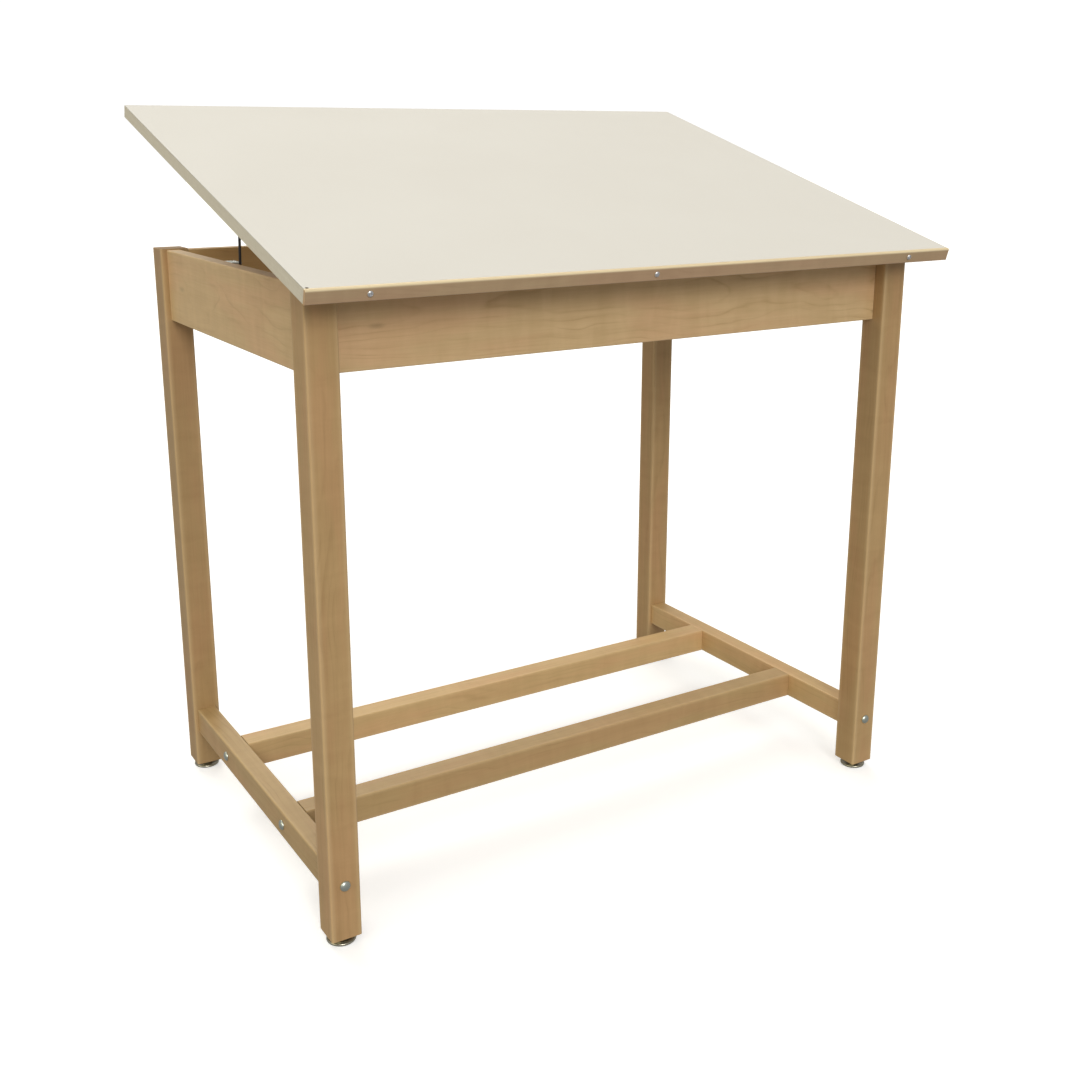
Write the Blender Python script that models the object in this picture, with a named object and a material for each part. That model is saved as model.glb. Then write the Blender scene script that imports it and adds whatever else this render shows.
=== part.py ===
"""Drafting table: a maple four-leg base with a hinged, tilting drawing board.

Metres, +Z up, +X to the draughtsman's right, +Y to the rear. The origin is on the floor,
under the middle of the table. The board is modelled flat in the frame of its hinge pin, and
an empty on that pin tilts it. Names end in _left for -X and _right for +X.
"""

import math

import bmesh
import bpy
from mathutils import Matrix, Vector

# Driving dimensions.
GAP = 0.0003                    # clearance between touching pieces
PAST_FACE = 0.001               # how far a cut starts or ends outside a surface
FRAME_Y = 0.0200                # middle of the four legs, behind the table's origin
BASE_WIDTH = 1.0227             # outer face to outer face of the legs
BASE_DEPTH = 0.6487
LEG_SIDE = 0.04445
LEG_BOTTOM = 0.0115
LEG_TOP = 0.9085
LEG_ROUND = 0.0025              # eased arris of the legs
RAIL_ROUND = 0.002              # eased arris of aprons and stretchers
END_CHAMFER = 0.0008

APRON_THICK = 0.0222
APRON_BOTTOM = 0.7946
APRON_TOP = LEG_TOP - 0.002
SIDE_APRON_INSET = 0.0097       # behind the outer face of the legs
LONG_APRON_INSET = 0.0213
TENON_THICK = 0.010
TENON_SHOULDER = 0.012          # wood left above and below a tenon
SIDE_TENON = 0.020
LONG_TENON = 0.015

STRETCHER_BOTTOM = 0.0729
STRETCHER_TOP = 0.1156
SIDE_STRETCHER_INSET = 0.00635
SIDE_STRETCHER_THICK = 0.0312
LONG_STRETCHER_THICK = 0.038
LONG_STRETCHER_OFFSET = 0.1272  # each way from the middle of the base

BOLT_SHANK = 0.0039
BOLT_HOLE = BOLT_SHANK + 0.0004
BOLT_HEAD = 0.0077
BOLT_HEAD_HEIGHT = 0.0042
BOLT_RIM = 0.0005
NUT_RADIUS = 0.007
NUT_LENGTH = 0.026
NUT_DEPTH = 0.030               # middle of a barrel nut, from the end of its rail
BOLT_PAST_NUT = 0.010
BOLT_ROOM = 0.003               # hole left beyond the end of a bolt

GLIDE_RADIUS = 0.021
GLIDE_HUB = 0.008
GLIDE_STEM = 0.004
GLIDE_STEM_TOP = LEG_BOTTOM + 0.0168
INSERT_RADIUS = 0.0055
INSERT_LENGTH = 0.020
INSERT_FLANGE = 0.009
INSERT_FLANGE_THICK = 0.0012
STEM_ROOM = 0.014               # leg bored deeper than its insert

BOARD_WIDTH = 1.0668
BOARD_DEPTH = 0.762
BOARD_THICK = 0.01905
BOARD_TILT = math.radians(16.5)
TILT_TOP = math.radians(30.0)   # the steepest slope of the board
BOARD_OVERHANG = 0.0544         # front edge of the board, ahead of the hinge pin
LAMINATE_THICK = 0.0012
LAMINATE_ROUND = 0.0003
BAND_THICK = 0.0015
STRIP_THICK = 0.005
STRIP_ROUND = 0.0024
STRIP_SCREW_X = (-0.452, -0.033, 0.447)
SCREW_SHANK = 0.0015
SCREW_HEAD = 0.0042
SCREW_LENGTH = 0.022

HINGE_WIDTH = 0.038
HINGE_REACH = 0.034             # length of a leaf behind the pin
HINGE_BARREL = 0.0025
HINGE_BORE = 0.0013
HINGE_PIN = 0.0012
PIN_AHEAD = 0.0031              # pin ahead of the legs' front faces
PIN_BELOW = 0.0011              # pin below the tops of the legs
FRAME_LEAF = (-0.0004, 0.0010)  # heights of the two leaves above the pin
BOARD_LEAF = (0.0013, 0.0025)
BOARD_UNDERSIDE = 0.0028

STAY_REACH = 0.365              # hinge pin to both ends of a stay
STAY_DROP = 0.0112              # stay pivot below the hinge pin, square to the board
STAY_LAG = math.radians(3.5)    # angle between the two stay ends with the board flat
STAY_INBOARD = 0.014            # rod inside the side apron
ROD_RADIUS = 0.002
ROD_BEND = 0.006
ROD_HOOK = 0.0165               # length of the bent end along the pivot
ROD_PAST_CLAMP = 0.012          # rod left below the clamp at the steepest slope
ROD_CLEARANCE = 0.0002
CLAMP_RADIUS = 0.008
CLAMP_HALF = 0.007
CLAMP_STUB = 0.004
BRACKET_THICK = 0.002
BRACKET_ROUND = 0.0004
BOARD_BRACKET_WIDTH = 0.026
BOARD_BRACKET_HALF = 0.020
EAR_INBOARD = 0.0085            # bracket ear inside the rod
EAR_RADIUS = 0.008
CLAMP_BRACKET_AHEAD = 0.016     # reach of the clamp bracket from its hole
CLAMP_BRACKET_BEHIND = 0.040
CLAMP_BRACKET_BELOW = 0.014
FLANGE_AHEAD = 0.008            # front end of the bracket's flange, behind the rod
FLANGE_INBOARD = 0.006
KNOB_RADIUS = 0.012
KNOB_DEPTH = 0.010
KNOB_LOBES = 6
KNOB_SCREW = 0.0025

SIDES = {"left": -1, "right": 1}
ENDS = {"front": -1, "rear": 1}

# Positions worked out from the dimensions above.
LEG_X = (BASE_WIDTH - LEG_SIDE) / 2
LEG_Y = (BASE_DEPTH - LEG_SIDE) / 2
INNER_X = BASE_WIDTH / 2 - LEG_SIDE
INNER_Y = BASE_DEPTH / 2 - LEG_SIDE
SIDE_APRON_X = BASE_WIDTH / 2 - SIDE_APRON_INSET - APRON_THICK / 2
LONG_APRON_Y = BASE_DEPTH / 2 - LONG_APRON_INSET - APRON_THICK / 2
SIDE_STRETCHER_X = BASE_WIDTH / 2 - SIDE_STRETCHER_INSET - SIDE_STRETCHER_THICK / 2
STRETCHER_Z = (STRETCHER_BOTTOM + STRETCHER_TOP) / 2
PIN_Y = FRAME_Y - BASE_DEPTH / 2 - PIN_AHEAD
PIN_Z = LEG_TOP - PIN_BELOW
APRON_INNER_X = SIDE_APRON_X - APRON_THICK / 2
ROD_X = APRON_INNER_X - STAY_INBOARD
BOARD_STAY_Y = math.sqrt(STAY_REACH**2 - STAY_DROP**2)
PIVOT_ANGLE = math.asin(STAY_DROP / STAY_REACH)
CLAMP_ANGLE = PIVOT_ANGLE + STAY_LAG
CLAMP_Y = PIN_Y + STAY_REACH * math.cos(CLAMP_ANGLE)
CLAMP_Z = PIN_Z - STAY_REACH * math.sin(CLAMP_ANGLE)
ROD_LENGTH = 2 * STAY_REACH * math.sin((TILT_TOP + STAY_LAG) / 2) + ROD_PAST_CLAMP
# Both stay ends lie the same distance from the hinge pin, so the rod turns by half the board's turn.
ROD_LEAN = (BOARD_TILT - PIVOT_ANGLE - CLAMP_ANGLE) / 2

for old in list(bpy.data.objects):
    bpy.data.objects.remove(old, do_unlink=True)


# Materials.

def material(name, colour, roughness, metallic=0.0):
    made = bpy.data.materials.new(name)
    made.use_nodes = True
    shader = made.node_tree.nodes["Principled BSDF"]
    shader.inputs["Base Color"].default_value = (*colour, 1.0)
    shader.inputs["Roughness"].default_value = roughness
    shader.inputs["Metallic"].default_value = metallic
    return made


MAPLE = material("maple", (0.55, 0.36, 0.19), 0.35)
STRIP_WOOD = material("strip_maple", (0.46, 0.30, 0.18), 0.4)
CORE = material("board_core", (0.50, 0.38, 0.24), 0.8)
LAMINATE = material("laminate", (0.79, 0.76, 0.67), 0.45)
BAND = material("edge_band", (0.58, 0.53, 0.44), 0.45)
ZINC = material("zinc_steel", (0.55, 0.56, 0.56), 0.35, 1.0)
NICKEL = material("nickel_steel", (0.42, 0.40, 0.34), 0.35, 1.0)
DARK_STEEL = material("dark_steel", (0.06, 0.06, 0.065), 0.4, 1.0)
KNOB = material("black_plastic", (0.02, 0.02, 0.02), 0.45)


# Shapes.

def finish(name, mesh, look, parent=None, smooth_angle=30.0):
    """Make an object from a bmesh, with outward faces and smooth round sides."""
    bmesh.ops.remove_doubles(mesh, verts=mesh.verts, dist=1e-7)
    bmesh.ops.recalc_face_normals(mesh, faces=mesh.faces)
    data = bpy.data.meshes.new(name)
    mesh.to_mesh(data)
    mesh.free()
    data.shade_smooth()
    data.set_sharp_from_angle(angle=math.radians(smooth_angle))
    data.materials.append(look)
    made = bpy.data.objects.new(name, data)
    bpy.context.collection.objects.link(made)
    made.parent = parent
    return made


def block_mesh(low, high):
    mesh = bmesh.new()
    centre = (Vector(low) + Vector(high)) / 2
    size = Vector(high) - Vector(low)
    place = Matrix.Translation(centre) @ Matrix.Diagonal((*size, 1.0))
    bmesh.ops.create_cube(mesh, size=1.0, matrix=place)
    return mesh


def block(name, low, high, look, parent=None):
    return finish(name, block_mesh(low, high), look, parent)


def rail(name, low, high, along, look, rounding=RAIL_ROUND, chamfer=0.0, parent=None):
    """A straight length of wood, its long arrises rounded and its ends square or chamfered."""
    mesh = block_mesh(low, high)
    long_edges = [e for e in mesh.edges if abs((e.verts[0].co - e.verts[1].co)[along]) > 1e-6]
    bmesh.ops.bevel(mesh, geom=long_edges, offset=rounding, segments=3, profile=0.5, affect="EDGES")
    if chamfer:
        ends = [e for e in mesh.edges if abs((e.verts[0].co - e.verts[1].co)[along]) < 1e-6]
        bmesh.ops.bevel(mesh, geom=ends, offset=chamfer, segments=1, profile=0.5, affect="EDGES")
    return finish(name, mesh, look, parent)


def turned(name, profile, look, sides=24, parent=None):
    """Turn a profile of (radius, height) points about Z: a solid from axis to axis, or a ring."""
    mesh = bmesh.new()
    rings = []
    for radius, height in profile:
        if radius == 0.0:
            rings.append([mesh.verts.new((0.0, 0.0, height))])
            continue
        turns = [2 * math.pi * (step + 0.5) / sides for step in range(sides)]
        rings.append([mesh.verts.new((radius * math.cos(t), radius * math.sin(t), height)) for t in turns])
    is_ring = profile[0][0] > 0.0
    pairs = list(zip(rings, rings[1:]))
    if is_ring:
        pairs.append((rings[-1], rings[0]))
    for first, second in pairs:
        for step in range(sides):
            after = (step + 1) % sides
            if len(first) == 1:
                mesh.faces.new((first[0], second[step], second[after]))
            elif len(second) == 1:
                mesh.faces.new((first[step], second[0], first[after]))
            else:
                mesh.faces.new((first[step], second[step], second[after], first[after]))
    return finish(name, mesh, look, parent)


def rod(name, radius, low, high, look, sides=24):
    """A plain cylinder along Z between two heights."""
    return turned(name, [(0.0, low), (radius, low), (radius, high), (0.0, high)], look, sides)


def plate(name, outline, x_low, x_high, look, parent=None):
    """Extrude an outline of (y, z) points from x_low to x_high."""
    mesh = bmesh.new()
    near = [mesh.verts.new((x_low, y, z)) for y, z in outline]
    far = [mesh.verts.new((x_high, y, z)) for y, z in outline]
    mesh.faces.new(near)
    mesh.faces.new(far[::-1])
    for index in range(len(outline)):
        after = (index + 1) % len(outline)
        mesh.faces.new((near[index], far[index], far[after], near[after]))
    return finish(name, mesh, look, parent)


def boolean(target, tool, operation="DIFFERENCE"):
    """Cut or join a tool, which then serves as a hidden guide."""
    step = target.modifiers.new(tool.name, "BOOLEAN")
    step.object = tool
    step.operation = operation
    tool.hide_render = True
    tool.display_type = "WIRE"
    return target


def aim(piece, direction, place):
    """Point a piece's local Z along a world direction and put its origin at a place."""
    piece.rotation_mode = "QUATERNION"
    piece.rotation_quaternion = Vector((0, 0, 1)).rotation_difference(Vector(direction))
    piece.location = place
    return piece


def drill(target, radius, start, direction, depth, sides=24):
    """Bore a round hole from a point on the surface."""
    tool = rod(target.name + "_drill", radius, -PAST_FACE, depth, CORE, sides)
    tool.parent = target.parent
    aim(tool, direction, start)
    return boolean(target, tool)


def pocket(target, low, high):
    tool = block(target.name + "_pocket", low, high, CORE, target.parent)
    return boolean(target, tool)


# Frame: legs, aprons and stretchers.

def leg(end, side):
    sy = ENDS[end]
    sx = SIDES[side]
    x = sx * LEG_X
    y = FRAME_Y + sy * LEG_Y
    half = LEG_SIDE / 2
    made = rail(f"leg_{end}_{side}", (x - half, y - half, LEG_BOTTOM), (x + half, y + half, LEG_TOP),
                2, MAPLE, LEG_ROUND, END_CHAMFER)
    top = APRON_TOP - TENON_SHOULDER + 2 * GAP
    bottom = APRON_BOTTOM + TENON_SHOULDER - 2 * GAP
    thick = TENON_THICK / 2 + GAP
    inner_x = sx * INNER_X
    inner_y = FRAME_Y + sy * INNER_Y
    apron_y = FRAME_Y + sy * LONG_APRON_Y
    apron_x = sx * SIDE_APRON_X
    deep_x = inner_x + sx * (LONG_TENON + 2 * GAP)
    deep_y = inner_y + sy * (SIDE_TENON + 2 * GAP)
    mouth_x = inner_x - sx * PAST_FACE
    mouth_y = inner_y - sy * PAST_FACE
    near_x, far_x = sorted((mouth_x, deep_x))
    near_y, far_y = sorted((mouth_y, deep_y))
    pocket(made, (near_x, apron_y - thick, bottom), (far_x, apron_y + thick, top))
    pocket(made, (apron_x - thick, near_y, bottom), (apron_x + thick, far_y, top))
    outer_y = FRAME_Y + sy * BASE_DEPTH / 2
    bolt_mouth = (sx * SIDE_STRETCHER_X, outer_y, STRETCHER_Z)
    drill(made, BOLT_HOLE, bolt_mouth, (0, -sy, 0), LEG_SIDE + PAST_FACE, 16)
    drill(made, INSERT_RADIUS + GAP, (x, y, LEG_BOTTOM), (0, 0, 1), INSERT_LENGTH + STEM_ROOM, 16)
    if end == "front":
        leaf = HINGE_WIDTH / 2 + GAP
        pocket(made, (x - leaf, outer_y - PAST_FACE, PIN_Z + FRAME_LEAF[0] - GAP),
               (x + leaf, PIN_Y + HINGE_REACH + GAP, LEG_TOP + PAST_FACE))
    return made


def long_apron(end):
    y = FRAME_Y + ENDS[end] * LONG_APRON_Y
    reach = INNER_X - GAP
    made = rail(f"apron_{end}", (-reach, y - APRON_THICK / 2, APRON_BOTTOM),
                (reach, y + APRON_THICK / 2, APRON_TOP), 0, MAPLE)
    low = APRON_BOTTOM + TENON_SHOULDER
    tenon = block(f"apron_{end}_tenon", (-reach - LONG_TENON, y - TENON_THICK / 2, low),
                  (reach + LONG_TENON, y + TENON_THICK / 2, APRON_TOP - TENON_SHOULDER), CORE)
    return boolean(made, tenon, "UNION")


def side_apron(side):
    x = SIDES[side] * SIDE_APRON_X
    reach = INNER_Y - GAP
    made = rail(f"apron_{side}", (x - APRON_THICK / 2, FRAME_Y - reach, APRON_BOTTOM),
                (x + APRON_THICK / 2, FRAME_Y + reach, APRON_TOP), 1, MAPLE)
    low = APRON_BOTTOM + TENON_SHOULDER
    tenon = block(f"apron_{side}_tenon", (x - TENON_THICK / 2, FRAME_Y - reach - SIDE_TENON, low),
                  (x + TENON_THICK / 2, FRAME_Y + reach + SIDE_TENON, APRON_TOP - TENON_SHOULDER), CORE)
    return boolean(made, tenon, "UNION")


def nut_bore(target, x, y):
    """A hole from the underside that takes a barrel nut."""
    depth = STRETCHER_Z + NUT_LENGTH / 2 + GAP - STRETCHER_BOTTOM
    return drill(target, NUT_RADIUS + GAP, (x, y, STRETCHER_BOTTOM), (0, 0, 1), depth, 16)


def side_stretcher(side):
    sx = SIDES[side]
    x = sx * SIDE_STRETCHER_X
    reach = INNER_Y - GAP
    made = rail(f"side_stretcher_{side}", (x - SIDE_STRETCHER_THICK / 2, FRAME_Y - reach, STRETCHER_BOTTOM),
                (x + SIDE_STRETCHER_THICK / 2, FRAME_Y + reach, STRETCHER_TOP), 1, MAPLE)
    depth = NUT_DEPTH + BOLT_PAST_NUT + BOLT_ROOM
    for sy in ENDS.values():
        end_y = FRAME_Y + sy * reach
        drill(made, BOLT_HOLE, (x, end_y, STRETCHER_Z), (0, -sy, 0), depth, 16)
        nut_bore(made, x, end_y - sy * NUT_DEPTH)
        cross_y = FRAME_Y + sy * LONG_STRETCHER_OFFSET
        outer_x = x + sx * SIDE_STRETCHER_THICK / 2
        through = SIDE_STRETCHER_THICK + PAST_FACE
        drill(made, BOLT_HOLE, (outer_x, cross_y, STRETCHER_Z), (-sx, 0, 0), through, 16)
    return made


def long_stretcher(end):
    y = FRAME_Y + ENDS[end] * LONG_STRETCHER_OFFSET
    reach = SIDE_STRETCHER_X - SIDE_STRETCHER_THICK / 2 - GAP
    made = rail(f"long_stretcher_{end}", (-reach, y - LONG_STRETCHER_THICK / 2, STRETCHER_BOTTOM),
                (reach, y + LONG_STRETCHER_THICK / 2, STRETCHER_TOP), 0, MAPLE)
    depth = NUT_DEPTH + BOLT_PAST_NUT + BOLT_ROOM
    for sx in SIDES.values():
        drill(made, BOLT_HOLE, (sx * reach, y, STRETCHER_Z), (-sx, 0, 0), depth, 16)
        nut_bore(made, sx * (reach - NUT_DEPTH), y)
    return made


# Fasteners and feet.

def dome_bolt(name, through, place, direction):
    """A domed bolt with its head on the surface at place; through is the wood before its rail."""
    length = through + NUT_DEPTH + BOLT_PAST_NUT
    dome = [(0.0, -BOLT_HEAD_HEIGHT - GAP)]
    for step in range(1, 4):
        angle = math.radians(90 - 22.5 * step)
        dome.append((BOLT_HEAD * math.cos(angle), -BOLT_HEAD_HEIGHT * math.sin(angle) - GAP))
    dome.append((BOLT_HEAD, -GAP - BOLT_RIM))
    shank = [(BOLT_HEAD, -GAP), (BOLT_SHANK, -GAP), (BOLT_SHANK, length - 0.001),
             (BOLT_SHANK - 0.0008, length), (0.0, length)]
    return aim(turned(name, dome + shank, ZINC, 16), direction, place)


def barrel_nut(name, place, bolt_direction):
    half = NUT_LENGTH / 2
    made = aim(rod(name, NUT_RADIUS, -half, half, ZINC, 16), (0, 0, 1), place)
    start = Vector(place) - Vector(bolt_direction) * NUT_RADIUS
    return drill(made, BOLT_SHANK + GAP, start, bolt_direction, 2 * NUT_RADIUS + PAST_FACE, 16)


def leg_bolt(end, side):
    sy = ENDS[end]
    x = SIDES[side] * SIDE_STRETCHER_X
    inward = (0, -sy, 0)
    face = (x, FRAME_Y + sy * BASE_DEPTH / 2, STRETCHER_Z)
    dome_bolt(f"leg_bolt_{end}_{side}", LEG_SIDE + GAP, face, inward)
    nut_y = FRAME_Y + sy * (INNER_Y - GAP - NUT_DEPTH)
    barrel_nut(f"leg_nut_{end}_{side}", (x, nut_y, STRETCHER_Z), inward)


def stretcher_bolt(end, side):
    sx = SIDES[side]
    y = FRAME_Y + ENDS[end] * LONG_STRETCHER_OFFSET
    outer = SIDE_STRETCHER_X + SIDE_STRETCHER_THICK / 2
    inner = SIDE_STRETCHER_X - SIDE_STRETCHER_THICK / 2
    inward = (-sx, 0, 0)
    face = (sx * outer, y, STRETCHER_Z)
    dome_bolt(f"stretcher_bolt_{end}_{side}", SIDE_STRETCHER_THICK + GAP, face, inward)
    nut_x = sx * (inner - GAP - NUT_DEPTH)
    barrel_nut(f"stretcher_nut_{end}_{side}", (nut_x, y, STRETCHER_Z), inward)


def insert(end, side):
    """A flanged threaded insert in the bottom of a leg."""
    bore = GLIDE_STEM + GAP
    flange_low = -GAP - INSERT_FLANGE_THICK
    profile = [(bore, flange_low), (INSERT_FLANGE, flange_low), (INSERT_FLANGE, -GAP),
               (INSERT_RADIUS, -GAP), (INSERT_RADIUS, INSERT_LENGTH), (bore, INSERT_LENGTH)]
    made = turned(f"insert_{end}_{side}", profile, ZINC, 16)
    made.location = (SIDES[side] * LEG_X, FRAME_Y + ENDS[end] * LEG_Y, LEG_BOTTOM)


def glide(end, side):
    """A dished metal foot on a threaded stem, screwed right up to its insert."""
    hub_top = LEG_BOTTOM - 2 * GAP - INSERT_FLANGE_THICK
    profile = [(0.0, 0.0), (GLIDE_RADIUS - 0.0016, 0.0), (GLIDE_RADIUS - 0.0004, 0.0006),
               (GLIDE_RADIUS, 0.0018), (GLIDE_RADIUS - 0.0002, 0.0036), (GLIDE_RADIUS - 0.0010, 0.0044),
               (GLIDE_RADIUS - 0.0020, 0.0040), (GLIDE_RADIUS - 0.0034, 0.0026), (GLIDE_HUB + 0.0015, 0.0024),
               (GLIDE_HUB, 0.0034), (GLIDE_HUB - 0.0004, hub_top), (GLIDE_STEM, hub_top),
               (GLIDE_STEM, GLIDE_STEM_TOP - 0.0008), (GLIDE_STEM - 0.0008, GLIDE_STEM_TOP),
               (0.0, GLIDE_STEM_TOP)]
    made = turned(f"glide_{end}_{side}", profile, NICKEL, 24)
    made.location = (SIDES[side] * LEG_X, FRAME_Y + ENDS[end] * LEG_Y, 0.0)


# Board, in the frame of the hinge pin: y runs up the slope and z is square to the board.

def board_pivot():
    made = bpy.data.objects.new("board_pivot", None)
    made.location = (0.0, PIN_Y, PIN_Z)
    made.rotation_euler = (BOARD_TILT, 0.0, 0.0)
    bpy.context.collection.objects.link(made)
    return made


def board(pivot):
    half = BOARD_WIDTH / 2
    front = -BOARD_OVERHANG
    rear = front + BOARD_DEPTH
    core_half = half - BAND_THICK - GAP
    core_rear = rear - BAND_THICK - GAP
    core_top = BOARD_UNDERSIDE + BOARD_THICK - LAMINATE_THICK - GAP
    core = block("board_core", (-core_half, front, BOARD_UNDERSIDE),
                 (core_half, core_rear, core_top), CORE, pivot)
    rail("board_laminate", (-half, front, core_top + GAP), (half, rear, core_top + GAP + LAMINATE_THICK),
         1, LAMINATE, LAMINATE_ROUND, parent=pivot)
    band = block("edge_band", (-half, front, BOARD_UNDERSIDE), (half, rear, core_top), BAND, pivot)
    pocket(band, (-half + BAND_THICK, front - 0.01, BOARD_UNDERSIDE - 0.01),
           (half - BAND_THICK, rear - BAND_THICK, core_top + 0.01))
    strip_back = front - GAP
    strip = strip_along_front(pivot, half, strip_back)
    middle = BOARD_UNDERSIDE + BOARD_THICK / 2
    for number, x in enumerate(STRIP_SCREW_X, 1):
        face = (x, strip_back - STRIP_THICK, middle)
        drill(strip, SCREW_SHANK + GAP, face, (0, 1, 0), STRIP_THICK + PAST_FACE, 12)
        pilot = SCREW_LENGTH - STRIP_THICK + PAST_FACE
        drill(core, SCREW_SHANK + GAP, (x, front, middle), (0, 1, 0), pilot, 12)
        strip_screw(f"strip_screw_{number}", face, pivot)


def strip_along_front(pivot, half, back):
    """The hardwood strip, flush with the laminate, its upper front arris well rounded."""
    low = BOARD_UNDERSIDE
    high = low + BOARD_THICK
    ahead = back - STRIP_THICK
    outline = [(back, low), (back, high - 0.0004), (back - 0.0004, high)]
    for step in range(7):
        angle = math.radians(15 * step)
        y = ahead + STRIP_ROUND * (1 - math.sin(angle))
        outline.append((y, high - STRIP_ROUND * (1 - math.cos(angle))))
    outline += [(ahead, low + 0.0008), (ahead + 0.0008, low)]
    return plate("front_strip", outline, -half, half, STRIP_WOOD, pivot)


def strip_screw(name, face, pivot):
    dome = [(0.0, -0.0026 - GAP), (0.0018, -0.0024 - GAP), (0.0032, -0.0017 - GAP),
            (SCREW_HEAD, -0.0004 - GAP)]
    shank = [(SCREW_HEAD, -GAP), (SCREW_SHANK, -GAP), (SCREW_SHANK, SCREW_LENGTH - 0.003),
             (0.0, SCREW_LENGTH)]
    made = turned(name, dome + shank, ZINC, 16, pivot)
    return aim(made, (0, 1, 0), face)


# Hinges.

def barrel(name, radius, x_low, x_high, parent):
    made = rod(name, radius, x_low, x_high, ZINC, 16)
    made.parent = parent
    return aim(made, (1, 0, 0), (0, 0, 0))


def hinge_leaf(name, parent, x, heights, knuckles, start):
    """A leaf on its pin's axis, which is the parent's origin; knuckles are pairs of x limits."""
    half = HINGE_WIDTH / 2
    made = block(name, (x - half, start, heights[0]), (x + half, HINGE_REACH, heights[1]), ZINC, parent)
    third = HINGE_WIDTH / 6
    own = [(x + low, x + high) for low, high in knuckles]
    for low, high in own:
        boolean(made, barrel(name + "_knuckle", HINGE_BARREL, low, high, parent), "UNION")
    gaps = [(x - third - GAP / 2, x + third + GAP / 2)]
    if len(own) == 1:
        gaps = [(x - half - PAST_FACE, x - third + GAP / 2), (x + third - GAP / 2, x + half + PAST_FACE)]
    for low, high in gaps:
        boolean(made, barrel(name + "_notch", HINGE_BARREL + GAP, low, high, parent))
    boolean(made, barrel(name + "_bore", HINGE_BORE, x - half - PAST_FACE, x + half + PAST_FACE, parent))
    return made


def hinge(side, base_pivot, pivot):
    x = SIDES[side] * LEG_X
    half = HINGE_WIDTH / 2
    third = HINGE_WIDTH / 6
    outer = [(-half, -third - GAP / 2), (third + GAP / 2, half)]
    inner = [(-third + GAP / 2, third - GAP / 2)]
    hinge_leaf(f"hinge_frame_leaf_{side}", base_pivot, x, FRAME_LEAF, outer, 0.0018)
    hinge_leaf(f"hinge_board_leaf_{side}", pivot, x, BOARD_LEAF, inner, 0.0009)
    end = half + GAP
    head = HINGE_PIN + 0.0006
    profile = [(0.0, -end - 0.0008), (head, -end - 0.0008), (head, -end), (HINGE_PIN, -end),
               (HINGE_PIN, end), (head, end), (head, end + 0.0008), (0.0, end + 0.0008)]
    pin = turned(f"hinge_pin_{side}", profile, ZINC, 16, base_pivot)
    aim(pin, (1, 0, 0), (x, 0, 0))


# Stays that hold the slope: a bent rod under the board slides through a swivelling clamp.

def ear_outline(y, z, top):
    """A tongue hanging from top, rounded about the point (y, z)."""
    outline = [(y + EAR_RADIUS, top), (y - EAR_RADIUS, top)]
    for step in range(9):
        angle = math.pi + math.pi * step / 8
        outline.append((y + EAR_RADIUS * math.cos(angle), z + EAR_RADIUS * math.sin(angle)))
    return outline


def board_bracket(side, pivot):
    """A zinc angle under the board, whose ear takes the bent end of the rod."""
    sx = SIDES[side]
    ear = sx * (ROD_X - EAR_INBOARD)
    half = BRACKET_THICK / 2
    top = BOARD_UNDERSIDE - GAP
    base_x = sorted((ear + sx * half, ear - sx * BOARD_BRACKET_WIDTH))
    made = rail(f"board_bracket_{side}", (base_x[0], BOARD_STAY_Y - BOARD_BRACKET_HALF, top - BRACKET_THICK),
                (base_x[1], BOARD_STAY_Y + BOARD_BRACKET_HALF, top), 1, ZINC, BRACKET_ROUND, parent=pivot)
    outline = ear_outline(BOARD_STAY_Y, -STAY_DROP, top - half)
    tongue = plate(f"board_bracket_{side}_ear", outline, ear - half, ear + half, ZINC, pivot)
    boolean(made, tongue, "UNION")
    start = (ear - half, BOARD_STAY_Y, -STAY_DROP)
    return drill(made, ROD_RADIUS + ROD_CLEARANCE, start, (1, 0, 0), BRACKET_THICK + PAST_FACE, 16)


def sweep(name, path, normals, radius, look, parent, sides=16):
    """A round bar along a flat path in the XZ plane."""
    mesh = bmesh.new()
    rings = []
    for point, normal in zip(path, normals):
        ring = []
        for step in range(sides):
            angle = 2 * math.pi * (step + 0.5) / sides
            offset = math.cos(angle) * normal + math.sin(angle) * Vector((0, 1, 0))
            ring.append(mesh.verts.new(point + radius * offset))
        rings.append(ring)
    mesh.faces.new(rings[0])
    mesh.faces.new(rings[-1][::-1])
    for first, second in zip(rings, rings[1:]):
        for step in range(sides):
            after = (step + 1) % sides
            mesh.faces.new((first[step], second[step], second[after], first[after]))
    return finish(name, mesh, look, parent, 50.0)


def stay_rod(side, pivot):
    """The rod hangs from its bent end, which turns in the ear of the board bracket."""
    sx = SIDES[side]
    swing = bpy.data.objects.new(f"stay_pivot_{side}", None)
    swing.parent = pivot
    swing.location = (sx * ROD_X, BOARD_STAY_Y, -STAY_DROP)
    swing.rotation_euler = (ROD_LEAN - BOARD_TILT, 0.0, 0.0)
    bpy.context.collection.objects.link(swing)
    path = [Vector((-sx * ROD_HOOK, 0, 0))]
    normals = [Vector((0, 0, 1))]
    for step in range(7):
        angle = math.radians(15 * step)
        normal = Vector((sx * math.sin(angle), 0, math.cos(angle)))
        path.append(Vector((-sx * ROD_BEND, 0, -ROD_BEND)) + ROD_BEND * normal)
        normals.append(normal)
    path.append(Vector((0, 0, -ROD_LENGTH)))
    normals.append(Vector((sx, 0, 0)))
    return sweep(f"stay_rod_{side}", path, normals, ROD_RADIUS, DARK_STEEL, swing)


def clamp_pivot(side):
    made = bpy.data.objects.new(f"clamp_pivot_{side}", None)
    made.location = (SIDES[side] * ROD_X, CLAMP_Y, CLAMP_Z)
    made.rotation_euler = (ROD_LEAN, 0.0, 0.0)
    bpy.context.collection.objects.link(made)
    return made


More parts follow.
